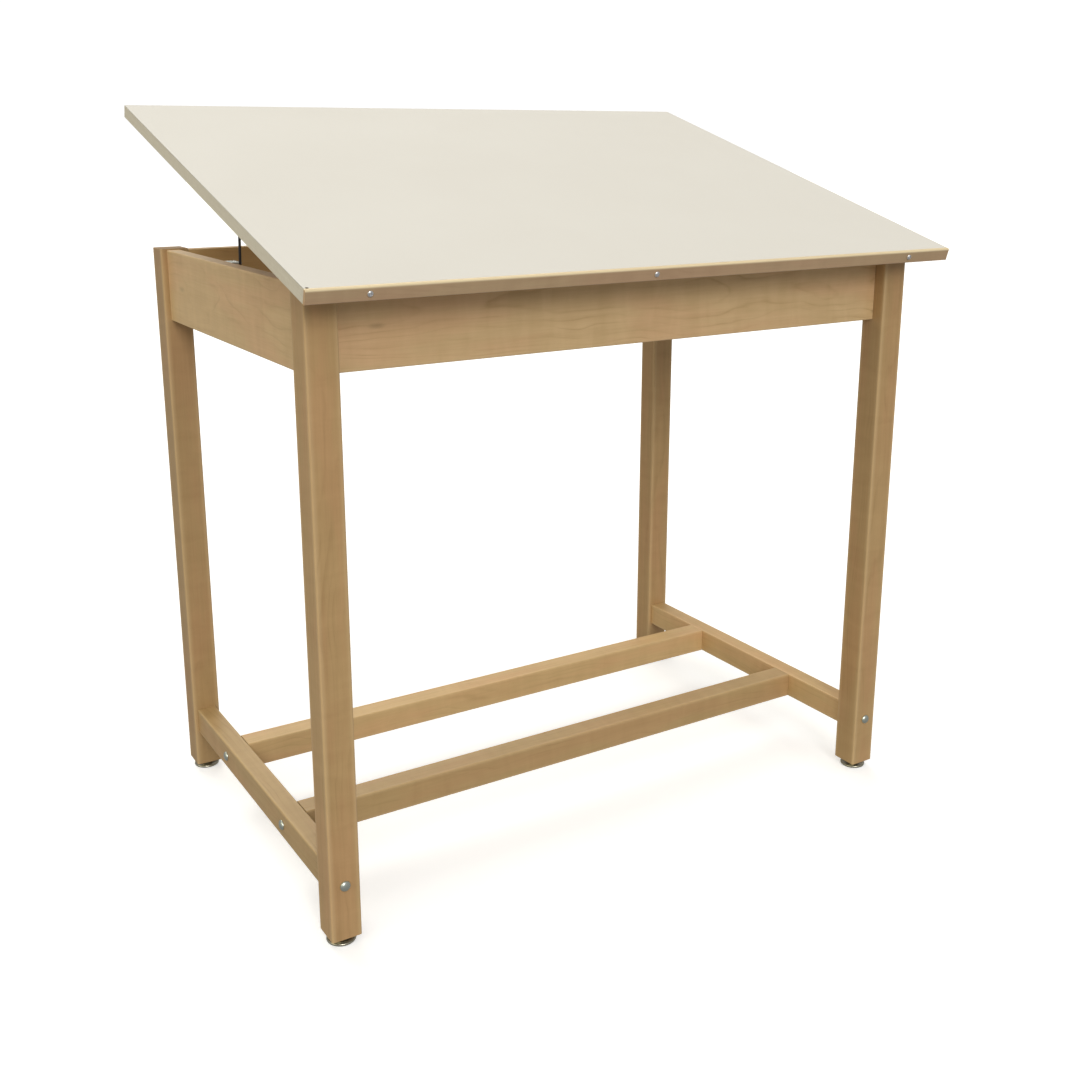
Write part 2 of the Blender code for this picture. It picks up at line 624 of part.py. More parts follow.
def clamp_block(side, swivel):
    """A round block that turns in its bracket and has a hole for the rod and one for the knob's screw."""
    sx = SIDES[side]
    stub_end = STAY_INBOARD - 2 * GAP
    ease = 0.0006
    profile = [(0.0, -CLAMP_HALF), (CLAMP_RADIUS - ease, -CLAMP_HALF), (CLAMP_RADIUS, -CLAMP_HALF + ease),
               (CLAMP_RADIUS, CLAMP_HALF - ease), (CLAMP_RADIUS - ease, CLAMP_HALF),
               (CLAMP_STUB, CLAMP_HALF), (CLAMP_STUB, stub_end), (0.0, stub_end)]
    made = turned(f"clamp_block_{side}", profile, ZINC, 24, swivel)
    aim(made, (sx, 0, 0), (0, 0, 0))
    through = 2 * CLAMP_RADIUS + PAST_FACE
    drill(made, ROD_RADIUS + ROD_CLEARANCE, (0, 0, -CLAMP_RADIUS), (0, 0, 1), through, 16)
    drill(made, KNOB_SCREW + GAP, (-sx * CLAMP_HALF, 0, 0), (sx, 0, 0), CLAMP_HALF, 16)
    return made


def clamp_knob(side, swivel):
    """A lobed knob on a moulded-in screw whose tip bears on the rod."""
    sx = SIDES[side]
    tip = -ROD_RADIUS - GAP
    back = -CLAMP_HALF - 0.0008
    front = back - KNOB_DEPTH
    stages = [(front, 0.79), (front + 0.0007, 0.925), (front + 0.0018, 1.0),
              (back - 0.003, 1.0), (back - 0.0022, 0.62), (back, 0.55)]
    mesh = bmesh.new()
    steps = KNOB_LOBES * 6
    rings = []
    for height, scale in stages:
        ring = []
        for step in range(steps):
            angle = 2 * math.pi * step / steps
            lobe = 1.0 - 0.07 * (1 - math.cos(KNOB_LOBES * angle)) if scale > 0.7 else 1.0
            radius = KNOB_RADIUS * scale * lobe
            ring.append(mesh.verts.new((sx * height, radius * math.cos(angle), radius * math.sin(angle))))
        rings.append(ring)
    mesh.faces.new(rings[0])
    mesh.faces.new(rings[-1][::-1])
    for first, second in zip(rings, rings[1:]):
        for step in range(steps):
            after = (step + 1) % steps
            mesh.faces.new((first[step], second[step], second[after], first[after]))
    made = finish(f"clamp_knob_{side}", mesh, KNOB, swivel, 40.0)
    root = back - 0.002
    profile = [(0.0, root), (KNOB_SCREW, root), (KNOB_SCREW, tip - 0.0006),
               (KNOB_SCREW - 0.0008, tip), (0.0, tip)]
    screw = turned(made.name + "_screw", profile, ZINC, 16, swivel)
    aim(screw, (sx, 0, 0), (0, 0, 0))
    return boolean(made, screw, "UNION")


def clamp_bracket(side):
    """A zinc angle on the inner face of the side apron; the clamp block turns in its hole."""
    sx = SIDES[side]
    outer = sx * (APRON_INNER_X - GAP)
    inner = outer - sx * BRACKET_THICK
    top = APRON_TOP - BRACKET_THICK
    low_y = CLAMP_Y - CLAMP_BRACKET_AHEAD
    high_y = CLAMP_Y + CLAMP_BRACKET_BEHIND
    upright = sorted((outer, inner))
    made = rail(f"clamp_bracket_{side}", (upright[0], low_y, CLAMP_Z - CLAMP_BRACKET_BELOW),
                (upright[1], high_y, top), 1, ZINC, BRACKET_ROUND)
    flange_x = sorted((outer, sx * (ROD_X - FLANGE_INBOARD)))
    flange = block(f"clamp_bracket_{side}_flange", (flange_x[0], CLAMP_Y + FLANGE_AHEAD, top - BRACKET_THICK),
                   (flange_x[1], high_y, top), ZINC)
    boolean(made, flange, "UNION")
    start = (inner, CLAMP_Y, CLAMP_Z)
    return drill(made, CLAMP_STUB + ROD_CLEARANCE, start, (sx, 0, 0), BRACKET_THICK + PAST_FACE, 24)


def stay(side, pivot):
    board_bracket(side, pivot)
    stay_rod(side, pivot)
    clamp_bracket(side)
    swivel = clamp_pivot(side)
    clamp_block(side, swivel)
    clamp_knob(side, swivel)


def main():
    base_pivot = bpy.data.objects.new("base_pivot", None)
    base_pivot.location = (0.0, PIN_Y, PIN_Z)
    bpy.context.collection.objects.link(base_pivot)
    pivot = board_pivot()
    for end in ENDS:
        long_apron(end)
        long_stretcher(end)
        for side in SIDES:
            leg(end, side)
            leg_bolt(end, side)
            stretcher_bolt(end, side)
            insert(end, side)
            glide(end, side)
    for side in SIDES:
        side_apron(side)
        side_stretcher(side)
        hinge(side, base_pivot, pivot)
        stay(side, pivot)
    board(pivot)


main()
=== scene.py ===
"""Looks for the drafting table: maple base, laminate board, plated fittings."""

import math

import bmesh
import bpy
from mathutils import Matrix, Vector

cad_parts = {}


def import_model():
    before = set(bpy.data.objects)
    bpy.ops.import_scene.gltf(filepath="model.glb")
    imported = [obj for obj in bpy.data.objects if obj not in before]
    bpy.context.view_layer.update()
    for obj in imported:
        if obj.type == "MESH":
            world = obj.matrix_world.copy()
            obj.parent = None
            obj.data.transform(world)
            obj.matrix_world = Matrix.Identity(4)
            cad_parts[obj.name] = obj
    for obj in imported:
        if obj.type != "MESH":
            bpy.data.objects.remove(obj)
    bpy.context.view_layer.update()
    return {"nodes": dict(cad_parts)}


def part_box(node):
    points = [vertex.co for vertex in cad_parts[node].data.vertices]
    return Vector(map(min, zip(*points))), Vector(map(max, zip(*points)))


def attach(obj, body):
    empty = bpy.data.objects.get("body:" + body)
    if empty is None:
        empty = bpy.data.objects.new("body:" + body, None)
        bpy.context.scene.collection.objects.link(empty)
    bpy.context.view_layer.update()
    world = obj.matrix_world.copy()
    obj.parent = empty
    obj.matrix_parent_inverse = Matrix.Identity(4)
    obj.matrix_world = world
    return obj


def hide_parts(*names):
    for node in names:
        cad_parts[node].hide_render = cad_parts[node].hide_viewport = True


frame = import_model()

NODES = frame["nodes"]
TILT = math.radians(16.5)    # the board's slope at rest
SIDES = {"left": -1, "right": 1}    # the sign of x
ENDS = {"front": -1, "rear": 1}    # the sign of y
CORNERS = [(end, side) for end in ENDS for side in SIDES]
UP_SLOPE = Vector((0, math.cos(TILT), math.sin(TILT)))
OFF_BOARD = Vector((0, -math.sin(TILT), math.cos(TILT)))

# Edges that turn by more than this stay crisp, on CAD meshes and on the meshes drawn here.
CAD_CREASE = math.radians(32.0)
DRAWN_CREASE = math.radians(35.0)

# Tones: a light and a dark colour for each material. The wood's vary as boards from one batch do,
# and partly as painted light and shade that differs from piece to piece.
PALE = ((0.690, 0.470, 0.220), (0.500, 0.322, 0.136))
HONEY = ((0.535, 0.362, 0.165), (0.385, 0.246, 0.100))
WARM = ((0.555, 0.362, 0.165), (0.392, 0.240, 0.098))
APRON_TONES = ((0.750, 0.530, 0.275), (0.540, 0.355, 0.160))
DEEP_APRON_TONES = ((0.690, 0.465, 0.205), (0.495, 0.310, 0.122))
STRIP_TONES = ((0.520, 0.372, 0.215), (0.390, 0.262, 0.148))
LAMINATE_TONES = ((0.765, 0.742, 0.690), (0.738, 0.710, 0.655))
BAND_TONES = ((0.83, 0.77, 0.62), (0.68, 0.61, 0.48))
CHIPBOARD_TONES = ((0.36, 0.24, 0.13), (0.70, 0.53, 0.33))
PLASTIC_TONES = ((0.014, 0.014, 0.015), (0.035, 0.034, 0.033))
FLOOR_TONES = ((0.90, 0.90, 0.90), (0.88, 0.88, 0.88))

BLUSH = (1.03, 0.965, 0.99)    # heartwood's tint
# Painted highlights: the colours that rounded arrises are lightened towards, as if catching the
# light.
ARRIS_HIGHLIGHT_WOOD = (0.80, 0.60, 0.33)
ARRIS_HIGHLIGHT_STRIP = (0.95, 0.79, 0.50)
SCUFF = (0.70, 0.66, 0.57)
DARK_SPOT_COLOUR = (0.10, 0.07, 0.05)
WOOD_DUST = (0.62, 0.50, 0.35)

# Painted shade: the rear legs are made darker, partly for the board's shadow over them.
LEG_SHADES = (1.0, 0.97, 0.86, 0.94)    # how light each leg is, in the order of CORNERS


# Node graph helpers.

class Graph:
    """A material's node tree, with short ways to add the nodes that the looks use."""

    def __init__(self, name):
        self.material = bpy.data.materials.new(name)
        self.material.use_nodes = True
        self.nodes = self.material.node_tree.nodes
        self.links = self.material.node_tree.links
        self.shader = self.nodes["Principled BSDF"]

    def put(self, socket, value):
        if isinstance(value, bpy.types.NodeSocket):
            self.links.new(value, socket)
        else:
            socket.default_value = value

    def math(self, operation, first, second=0.0, third=0.0, clamp=False):
        node = self.nodes.new("ShaderNodeMath")
        node.operation = operation
        node.use_clamp = clamp
        for socket, value in zip(node.inputs, (first, second, third)):
            self.put(socket, value)
        return node.outputs[0]

    def around(self, value, gain, base, clamp=False):
        """base, moved by gain times how far value is from 0.5, the middle of a noise."""
        return self.math("MULTIPLY_ADD", self.math("SUBTRACT", value, 0.5), gain, base, clamp)

    def vector(self, operation, first, second=(0.0, 0.0, 0.0)):
        node = self.nodes.new("ShaderNodeVectorMath")
        node.operation = operation
        self.put(node.inputs[0], first)
        self.put(node.inputs[1], second)
        return node.outputs["Value" if operation == "LENGTH" else "Vector"]

    def combine(self, x, y, z):
        node = self.nodes.new("ShaderNodeCombineXYZ")
        for socket, value in zip(node.inputs, (x, y, z)):
            self.put(socket, value)
        return node.outputs[0]

    def separate(self, vector):
        node = self.nodes.new("ShaderNodeSeparateXYZ")
        self.put(node.inputs[0], vector)
        return node.outputs[0], node.outputs[1], node.outputs[2]

    def coordinates(self, output="Object"):
        found = self.nodes.get("Coordinates")
        if found is None:
            found = self.nodes.new("ShaderNodeTexCoord")
            found.name = "Coordinates"
        return found.outputs[output]

    def turned(self, vector, tilt):
        node = self.nodes.new("ShaderNodeMapping")
        self.put(node.inputs["Vector"], vector)
        node.inputs["Rotation"].default_value = (-tilt, 0.0, 0.0)
        return node.outputs[0]

    def noise(self, vector, scale=1.0, detail=2.0, roughness=0.5, distortion=0.0):
        node = self.nodes.new("ShaderNodeTexNoise")
        self.put(node.inputs["Vector"], vector)
        node.inputs["Scale"].default_value = scale
        node.inputs["Detail"].default_value = detail
        node.inputs["Roughness"].default_value = roughness
        node.inputs["Distortion"].default_value = distortion
        return node.outputs["Fac"]

    def stretched(self, vector, scales, *settings):
        """Noise with its own scale, in waves per metre, along each axis."""
        return self.noise(self.vector("MULTIPLY", vector, scales), 1.0, *settings)

    def cells(self, vector, scale):
        node = self.nodes.new("ShaderNodeTexVoronoi")
        self.put(node.inputs["Vector"], vector)
        node.inputs["Scale"].default_value = scale
        return node.outputs

    def ramp(self, value, low, high, start=0.0, end=1.0):
        """A smooth step from start to end as value goes from low to high."""
        node = self.nodes.new("ShaderNodeMapRange")
        node.interpolation_type = "SMOOTHSTEP"
        self.put(node.inputs["Value"], value)
        node.inputs["From Min"].default_value = low
        node.inputs["From Max"].default_value = high
        node.inputs["To Min"].default_value = start
        node.inputs["To Max"].default_value = end
        return node.outputs[0]

    def curve(self, value, stops):
        """A grey colour ramp through (position, level) stops."""
        node = self.nodes.new("ShaderNodeValToRGB")
        self.put(node.inputs[0], value)
        elements = node.color_ramp.elements
        while len(elements) < len(stops):
            elements.new(0.5)
        for element, (position, level) in zip(elements, stops):
            element.position = position
            element.color = (level, level, level, 1.0)
        return node.outputs[0]

    def mix(self, factor, first, second, blend="MIX"):
        node = self.nodes.new("ShaderNodeMix")
        node.data_type = "RGBA"
        node.blend_type = blend
        self.put(node.inputs[0], factor)
        for socket, value in ((node.inputs[6], first), (node.inputs[7], second)):
            self.put(socket, (*value, 1.0) if isinstance(value, tuple) else value)
        return node.outputs[2]

    def bump(self, height, distance, strength=1.0):
        node = self.nodes.new("ShaderNodeBump")
        self.put(node.inputs["Height"], height)
        node.inputs["Distance"].default_value = distance
        node.inputs["Strength"].default_value = strength
        self.links.new(node.outputs[0], self.shader.inputs["Normal"])

    def set(self, **values):
        for name, value in values.items():
            self.put(self.shader.inputs[name.replace("_", " ")], value)
        return self.material


def local_box(node, tilt=0.0):
    """A CAD node's middle and half sizes, measured in axes tilted about X."""
    turn = Matrix.Rotation(-tilt, 3, "X")
    points = [turn @ vertex.co for vertex in NODES[node].data.vertices]
    low = Vector([min(point[axis] for point in points) for axis in range(3)])
    high = Vector([max(point[axis] for point in points) for axis in range(3)])
    return (low + high) / 2, (high - low) / 2


# Wood.

# Darkness across one growth ring, from one ring's edge to the next.
RING = [(0.0, 0.30), (0.10, 0.05), (0.45, 0.0), (0.80, 0.35), (0.94, 1.0), (1.0, 0.4)]
RINGS_PER_METRE = 120.0
BASE_SHADE = 0.22    # how far plain wood lies from the light tone towards the dark one
KNOT_DARKNESS = 0.32
ARRIS_START = 0.0008


def maple(node, grain, seed, light, dark, tilt=0.0, pith=(0.05, 0.09), slope=(0.02, 0.01),
          figure=0.5, knots=0.0, end_shade=0.72, arris=0.22, highlight_colour=ARRIS_HIGHLIGHT_WOOD,
          arris_width=0.0058, top_only=False):
    """Solid maple: growth rings round a pith line beside the piece, fibres along its grain axis.

    slope is how far the rings run out of true, figure how strong they are, and arris how much of
    the painted highlight colour shows on the rounded edges along the piece, or on the upper ones
    only."""
    graph = Graph(f"look_{node}")
    middle, half = local_box(node, tilt)
    order = [(grain + step) % 3 for step in range(3)]
    place = graph.coordinates()
    if tilt:
        place = graph.turned(place, tilt)
    place = graph.vector("SUBTRACT", place, tuple(middle))
    parts = graph.separate(place)
    along, across, through = (parts[axis] for axis in order)
    wood = graph.combine(along, across, through)
    shifted = graph.vector("ADD", wood, (seed * 1.37, seed * 0.71, seed * 2.13))

    # Growth rings, warped a little along the length.
    sway = graph.stretched(shifted, (4.5, 13.0, 13.0), 2.5, 0.45)
    sway = graph.math("MULTIPLY", graph.math("SUBTRACT", sway, 0.5), 0.045)
    side = graph.math("MULTIPLY_ADD", along, slope[0], across)
    deep = graph.math("MULTIPLY_ADD", along, slope[1], through)
    radial = graph.combine(0.0, graph.math("SUBTRACT", side, pith[0]),
                           graph.math("SUBTRACT", deep, pith[1]))
    radius = graph.math("ADD", graph.vector("LENGTH", radial), sway)
    uneven = graph.noise(graph.combine(graph.math("MULTIPLY", radius, 60.0), seed, 0.0))
    count = graph.math("MULTIPLY_ADD", uneven, 4.0, graph.math("MULTIPLY", radius, RINGS_PER_METRE))
    late = graph.curve(graph.math("FRACT", count), RING)
    patch = graph.ramp(graph.stretched(shifted, (9.0, 30.0, 30.0), 3.0), 0.38, 0.66)
    late = graph.math("MULTIPLY", late, graph.math("MULTIPLY_ADD", patch, 0.85, 0.15))

    # Broad streaks, fibres, curl and flecks.
    broad = graph.stretched(shifted, (2.5, 60.0, 60.0), 3.0, 0.6)
    fibre = graph.stretched(shifted, (14.0, 420.0, 420.0), 3.0, 0.6)
    curl = graph.stretched(shifted, (38.0, 11.0, 11.0), 2.0, 0.5, 0.6)
    fleck = graph.stretched(shifted, (240.0, 1500.0, 1500.0), 1.0)
    fleck = graph.ramp(fleck, 0.66, 0.78)

    amount = graph.math("MULTIPLY", late, figure)
    amount = graph.around(broad, 0.60, amount)
    amount = graph.around(fibre, 0.40, amount)
    amount = graph.around(curl, 0.60, amount)
    amount = graph.math("MULTIPLY_ADD", fleck, 0.2, amount)
    amount = graph.math("ADD", amount, BASE_SHADE, clamp=True)
    colour = graph.mix(amount, light, dark)
    if knots:
        cell = graph.cells(graph.vector("MULTIPLY", shifted, (4.2, 13.0, 13.0)), 1.0)
        spot = graph.ramp(cell["Distance"], 0.02, 0.09, 1.0, 0.0)
        knot = tuple(KNOT_DARKNESS * part for part in dark)
        colour = graph.mix(graph.math("MULTIPLY", spot, knots), colour, knot)

    # Some patches of heartwood are pinker.
    blush = graph.ramp(graph.stretched(shifted, (5.0, 22.0, 22.0), 3.0), 0.42, 0.66)
    colour = graph.mix(blush, colour, BLUSH, "MULTIPLY")

    # Painted highlight: rounded arrises are made lighter, as if catching the light. End grain is
    # tinted by end_shade: darker, as end grain soaks up more finish, except on the strip, whose
    # ends are made lighter.
    normal = graph.coordinates("Normal")
    if tilt:
        normal = graph.turned(normal, tilt)
    facing = graph.math("ABSOLUTE", graph.separate(normal)[grain])
    end = graph.ramp(facing, 0.55, 0.9)
    gaps = []
    for axis in order[1:]:
        gaps.append(graph.math("SUBTRACT", half[axis], graph.math("ABSOLUTE", parts[axis])))
    wear_and_highlight = graph.ramp(graph.math("ADD", *gaps), ARRIS_START, arris_width, 1.0, 0.0)
    if top_only:
        wear_and_highlight = graph.math("MULTIPLY", wear_and_highlight, graph.math("GREATER_THAN", parts[2], 0.0))
    highlight_mask = graph.math("MULTIPLY", wear_and_highlight, graph.math("MULTIPLY_ADD", fibre, 0.8, 0.6))
    colour = graph.mix(graph.math("MULTIPLY", highlight_mask, arris), colour, highlight_colour)
    colour = graph.mix(end, colour, (end_shade, end_shade * 0.97, end_shade * 0.92), "MULTIPLY")

    sheen = graph.math("MULTIPLY_ADD", fibre, 0.16, 0.34)
    sheen = graph.math("MULTIPLY_ADD", end, 0.2, sheen)
    height = graph.math("MULTIPLY_ADD", late, -0.35, fibre)
    graph.bump(graph.math("MULTIPLY_ADD", fleck, -0.8, height), 0.00012, 0.5)
    return graph.set(Base_Color=colour, Roughness=sheen, Coat_Weight=0.08, Coat_Roughness=0.25,
                     Specular_IOR_Level=0.32)


# Board materials, in the tilted board's own axes.

CORNER_DARK_SPOT = (-0.5290, -0.0903, 0.9792)    # a small dark spot at the laminate's front left corner
DARK_SPOT_RADII = (0.0015, 0.0028)    # where it starts to fade and where it ends


def laminate():
    graph = Graph("look_laminate")
    place = graph.turned(graph.coordinates(), TILT)
    cloud = graph.noise(place, 5.0, 4.0, 0.6)
    grain = graph.noise(place, 900.0)
    wear_and_highlight = graph.stretched(place, (90.0, 9.0, 9.0), 4.0, 0.7, 0.8)
    colour = graph.mix(graph.around(grain, 0.5, cloud, clamp=True), *LAMINATE_TONES)
    scuff = graph.ramp(wear_and_highlight, 0.62, 0.78)
    colour = graph.mix(graph.math("MULTIPLY", scuff, 0.10), colour, SCUFF)
    # A small dark spot at the front left corner.
    apart = graph.vector("SUBTRACT", place, CORNER_DARK_SPOT)
    corner_dark = graph.ramp(graph.vector("LENGTH", apart), *DARK_SPOT_RADII, 1.0, 0.0)
    colour = graph.mix(corner_dark, colour, DARK_SPOT_COLOUR)
    graph.bump(grain, 0.00006, 0.35)
    sheen = graph.math("MULTIPLY_ADD", cloud, 0.10, graph.math("MULTIPLY_ADD", scuff, -0.06, 0.58))
    return graph.set(Base_Color=colour, Roughness=sheen, Specular_IOR_Level=0.12)


def edge_band():
    graph = Graph("look_edge_band")
    place = graph.turned(graph.coordinates(), TILT)
    streak = graph.stretched(place, (60.0, 8.0, 600.0), 3.0, 0.6)
    mottle = graph.noise(place, 160.0, 3.0)
    colour = graph.mix(graph.around(mottle, 0.6, streak, clamp=True), *BAND_TONES)
    graph.bump(graph.math("ADD", streak, mottle), 0.00008, 0.4)
    return graph.set(Base_Color=colour, Roughness=graph.math("MULTIPLY_ADD", mottle, 0.2, 0.4))


def chipboard():
    """Pressed chips, coarse and fine, seen on the board's underside."""
    graph = Graph("look_board_core")
    place = graph.turned(graph.coordinates(), TILT)
    warp = graph.noise(place, 60.0)
    spread = graph.vector("ADD", graph.vector("MULTIPLY", place, (1.0, 0.55, 1.0)),
                          graph.combine(graph.math("MULTIPLY", warp, 0.006), 0.0, 0.0))
    coarse = graph.cells(spread, 210.0)
    coarse_level = graph.separate(coarse["Color"])[0]
    fine = graph.cells(spread, 460.0)
    fine_level = graph.separate(fine["Color"])[0]
    both = graph.math("MULTIPLY_ADD", coarse_level, 0.6, graph.math("MULTIPLY", fine_level, 0.4))
    colour = graph.mix(both, *CHIPBOARD_TONES)
    dust = graph.noise(place, 9.0, 3.0)
    colour = graph.mix(graph.math("MULTIPLY", dust, 0.4), colour, WOOD_DUST)
    graph.bump(graph.math("MULTIPLY_ADD", fine["Distance"], 0.5, both), 0.0002, 0.5)
    sheen = graph.math("MULTIPLY_ADD", fine_level, 0.15, 0.68)
    return graph.set(Base_Color=colour, Roughness=sheen)


# Metals and plastic.

CLOUDS_PER_METRE = 90.0
MARKS_PER_METRE = CLOUDS_PER_METRE * 14.0


def metal(name, bright, dull, rough, stretch=(1.0, 1.0, 1.0)):
    """Plated or drawn steel, with uneven lustre and faint marks."""
    graph = Graph(name)
    place = graph.vector("MULTIPLY", graph.coordinates(), stretch)
    cloud = graph.noise(place, CLOUDS_PER_METRE, 4.0, 0.6, 0.4)
    mark = graph.noise(place, MARKS_PER_METRE, 3.0, 0.6)
    amount = graph.around(mark, 0.6, cloud, clamp=True)
    colour = graph.mix(amount, bright, dull)
    graph.bump(graph.math("MULTIPLY_ADD", cloud, 0.5, mark), 0.00003, 0.5)
    return graph.set(Base_Color=colour, Roughness=graph.around(amount, 0.35, rough, clamp=True),
                     Metallic=1.0)


def black_plastic():
    graph = Graph("look_black_plastic")
    place = graph.coordinates()
    pebble = graph.noise(place, 2600.0)
    wear_and_highlight = graph.ramp(graph.noise(place, 180.0, 3.0), 0.5, 0.75)
    colour = graph.mix(wear_and_highlight, *PLASTIC_TONES)
    graph.bump(pebble, 0.00008, 0.5)
    return graph.set(Base_Color=colour, Roughness=graph.math("MULTIPLY_ADD", wear_and_highlight, -0.12, 0.5))


ZINC = metal("look_zinc", (0.84, 0.88, 0.84), (0.60, 0.66, 0.62), 0.40)
BOLT_ZINC = metal("look_bolt_zinc", (0.72, 0.76, 0.69), (0.50, 0.55, 0.48), 0.34)
SCREW_ZINC = metal("look_screw", (0.98, 0.98, 0.98), (0.74, 0.74, 0.75), 0.27)
NICKEL = metal("look_nickel", (0.66, 0.62, 0.50), (0.38, 0.36, 0.26), 0.30)
DRAWN_STEEL = metal("look_drawn_steel", (0.11, 0.11, 0.115), (0.045, 0.045, 0.05), 0.34,
                    (6.0, 6.0, 0.4))
PLASTIC = black_plastic()


# Looks on the CAD pieces.

def smooth(data, crease):
    data.shade_smooth()
    data.set_sharp_from_angle(angle=crease)


def apply_look(node, look):
    data = NODES[node].data
    data.materials.clear()
    data.materials.append(look)
    smooth(data, CAD_CREASE)


def shaded(tones, level):
    return [tuple(level * part for part in tone) for tone in tones]


for number, (end, side) in enumerate(CORNERS):
    node = f"leg_{end}_{side}"
    tones = shaded(WARM, LEG_SHADES[number])
    apply_look(node, maple(node, 2, 3.1 + 5.3 * number, *tones, pith=(0.03 - 0.02 * number, -0.075),
                           slope=(0.012, 0.02), figure=0.34, arris=0.30, arris_width=0.0085))
for number, end in enumerate(ENDS):
    node = f"apron_{end}"
    tones = (APRON_TONES, DEEP_APRON_TONES)[number]
    apply_look(node, maple(node, 0, 21.7 + 9.1 * number, *tones, pith=(-0.055, 0.012),
                           slope=(0.006, 0.035), figure=0.55, knots=0.75))
    node = f"long_stretcher_{end}"
    # The rear long stretcher takes the lighter tone partly as painted light from above.
    tones = (HONEY, PALE)[number]
    apply_look(node, maple(node, 0, 41.3 + 7.7 * number, *tones, pith=(0.05, 0.06),
                           slope=(0.02, 0.015), figure=0.36))
for number, side in enumerate(SIDES):
    node = f"apron_{side}"
    apply_look(node, maple(node, 1, 61.9 + 8.3 * number, *APRON_TONES, pith=(0.01, 0.07),
                           slope=(0.035, 0.012), figure=0.42, knots=0.35))
    node = f"side_stretcher_{side}"
    tones = (HONEY, PALE)[number]
    apply_look(node, maple(node, 1, 81.1 + 6.1 * number, *tones, pith=(0.06, -0.05),
                           slope=(0.015, 0.02), figure=0.36))

# The strip's upper arris carries a strong painted highlight.
apply_look("front_strip", maple("front_strip", 0, 97.3, *STRIP_TONES, TILT, figure=0.3,
                                end_shade=1.25, arris=1.0, highlight_colour=ARRIS_HIGHLIGHT_STRIP,
                                arris_width=0.0040, top_only=True))
apply_look("board_laminate", laminate())
apply_look("edge_band", edge_band())
apply_look("board_core", chipboard())

for side in SIDES:
    for node in (f"hinge_frame_leaf_{side}", f"hinge_board_leaf_{side}", f"hinge_pin_{side}",
                 f"board_bracket_{side}", f"clamp_bracket_{side}", f"clamp_block_{side}"):
        apply_look(node, ZINC)
    apply_look(f"stay_rod_{side}", DRAWN_STEEL)
for end, side in CORNERS:
    for node in (f"leg_nut_{end}_{side}", f"stretcher_nut_{end}_{side}", f"insert_{end}_{side}"):
        apply_look(node, ZINC)


# Pieces drawn here. Each rides on a CAD body.

def mesh_piece(name, mesh, look, body, stands_for=()):
    """Turn a bmesh into a shaded piece on a body."""
    bmesh.ops.recalc_face_normals(mesh, faces=mesh.faces)
    data = bpy.data.meshes.new(name)
    mesh.to_mesh(data)
    mesh.free()
    smooth(data, DRAWN_CREASE)
    data.materials.append(look)
    piece = bpy.data.objects.new(name, data)
    bpy.context.scene.collection.objects.link(piece)
    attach(piece, body)
    if stands_for:
        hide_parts(*stands_for)
    return piece


def aimed(direction, place):
    """A matrix that points local Z along a direction, at a place."""
    turn = Vector((0, 0, 1)).rotation_difference(Vector(direction)).to_matrix().to_4x4()
    return Matrix.Translation(place) @ turn


def spin(mesh, profile, place, sides, shape=None):
    """Turn (radius, height) points about a placed Z axis; shape may vary the radius by angle."""
    rings = []
    for radius, height in profile:
        if radius == 0.0:
            rings.append([mesh.verts.new(place @ Vector((0, 0, height)))])
            continue
        ring = []
        for step in range(sides):
            angle = 2 * math.pi * step / sides
            here = radius * (shape(angle, height) if shape else 1.0)
            point = Vector((here * math.cos(angle), here * math.sin(angle), height))
            ring.append(mesh.verts.new(place @ point))
        rings.append(ring)
    for first, second in zip(rings, rings[1:]):
        for step in range(sides):
            after = (step + 1) % sides
            if len(first) == 1:
                mesh.faces.new((first[0], second[step], second[after]))
            elif len(second) == 1:
                mesh.faces.new((first[step], second[0], first[after]))
            else:
                mesh.faces.new((first[step], second[step], second[after], first[after]))


def dome(radius, height, rim, steps=9):
    """A low dome from its crown, at height -height, to a short rim at the surface."""
    points = [(0.0, -height)]
    for step in range(1, steps):
        angle = math.pi / 2 * (1 - step / steps)
        points.append((radius * math.cos(angle), -rim - (height - rim) * math.sin(angle)))
    return points + [(radius, -rim), (radius, 0.0)]


def thread(radius, depth, low, high, pitch):
    """The profile of a screw thread, as grooves close enough to read as its helix."""
    root = radius - depth
    points = []
    for turn in range(int((high - low) / pitch)):
        base = low + turn * pitch
        points += [(root, base), (root, base + pitch * 0.15),
                   (radius, base + pitch * 0.5), (radius, base + pitch * 0.65)]
    return points + [(root, high)]


M8_PITCH = 0.00125
M8_DEPTH = 0.0005


# Bolts: a smooth domed head and a rolled thread in place of the plain CAD bolt.

BOLT_HEAD = 0.0077
BOLT_HEAD_HEIGHT = 0.0042
BOLT_RIM = 0.0005
BOLT_SHANK = 0.0039
BOLT_THREAD_LENGTH = 0.0258


def bolt(node, direction):
    low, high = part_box(node)
    axis = max(range(3), key=lambda index: abs(direction[index]))
    face = (low + high) / 2
    face[axis] = low[axis] if direction[axis] > 0 else high[axis]
    length = high[axis] - low[axis]
    mesh = bmesh.new()
    crown = dome(BOLT_HEAD, BOLT_HEAD_HEIGHT, BOLT_RIM)
    head = [(radius, height + BOLT_HEAD_HEIGHT) for radius, height in crown]
    shank = [(BOLT_SHANK, BOLT_HEAD_HEIGHT), (BOLT_SHANK, length - BOLT_THREAD_LENGTH - 0.0002)]
    shank += thread(BOLT_SHANK, M8_DEPTH, length - BOLT_THREAD_LENGTH, length - 0.001, M8_PITCH)
    tip = [(BOLT_SHANK - 0.001, length), (0.0, length)]
    spin(mesh, head + shank + tip, aimed(direction, face), 40)
    mesh_piece(f"{node}_detail", mesh, BOLT_ZINC, "frame", (node,))


for end, side in CORNERS:
    bolt(f"leg_bolt_{end}_{side}", (0, -ENDS[end], 0))
    bolt(f"stretcher_bolt_{end}_{side}", (-SIDES[side], 0, 0))


# Glides: dished disc, hexagonal collar and threaded stem.

COLLAR_RADIUS = 0.0079
COLLAR_TOP = 0.0097
STEM_RADIUS = 0.0040


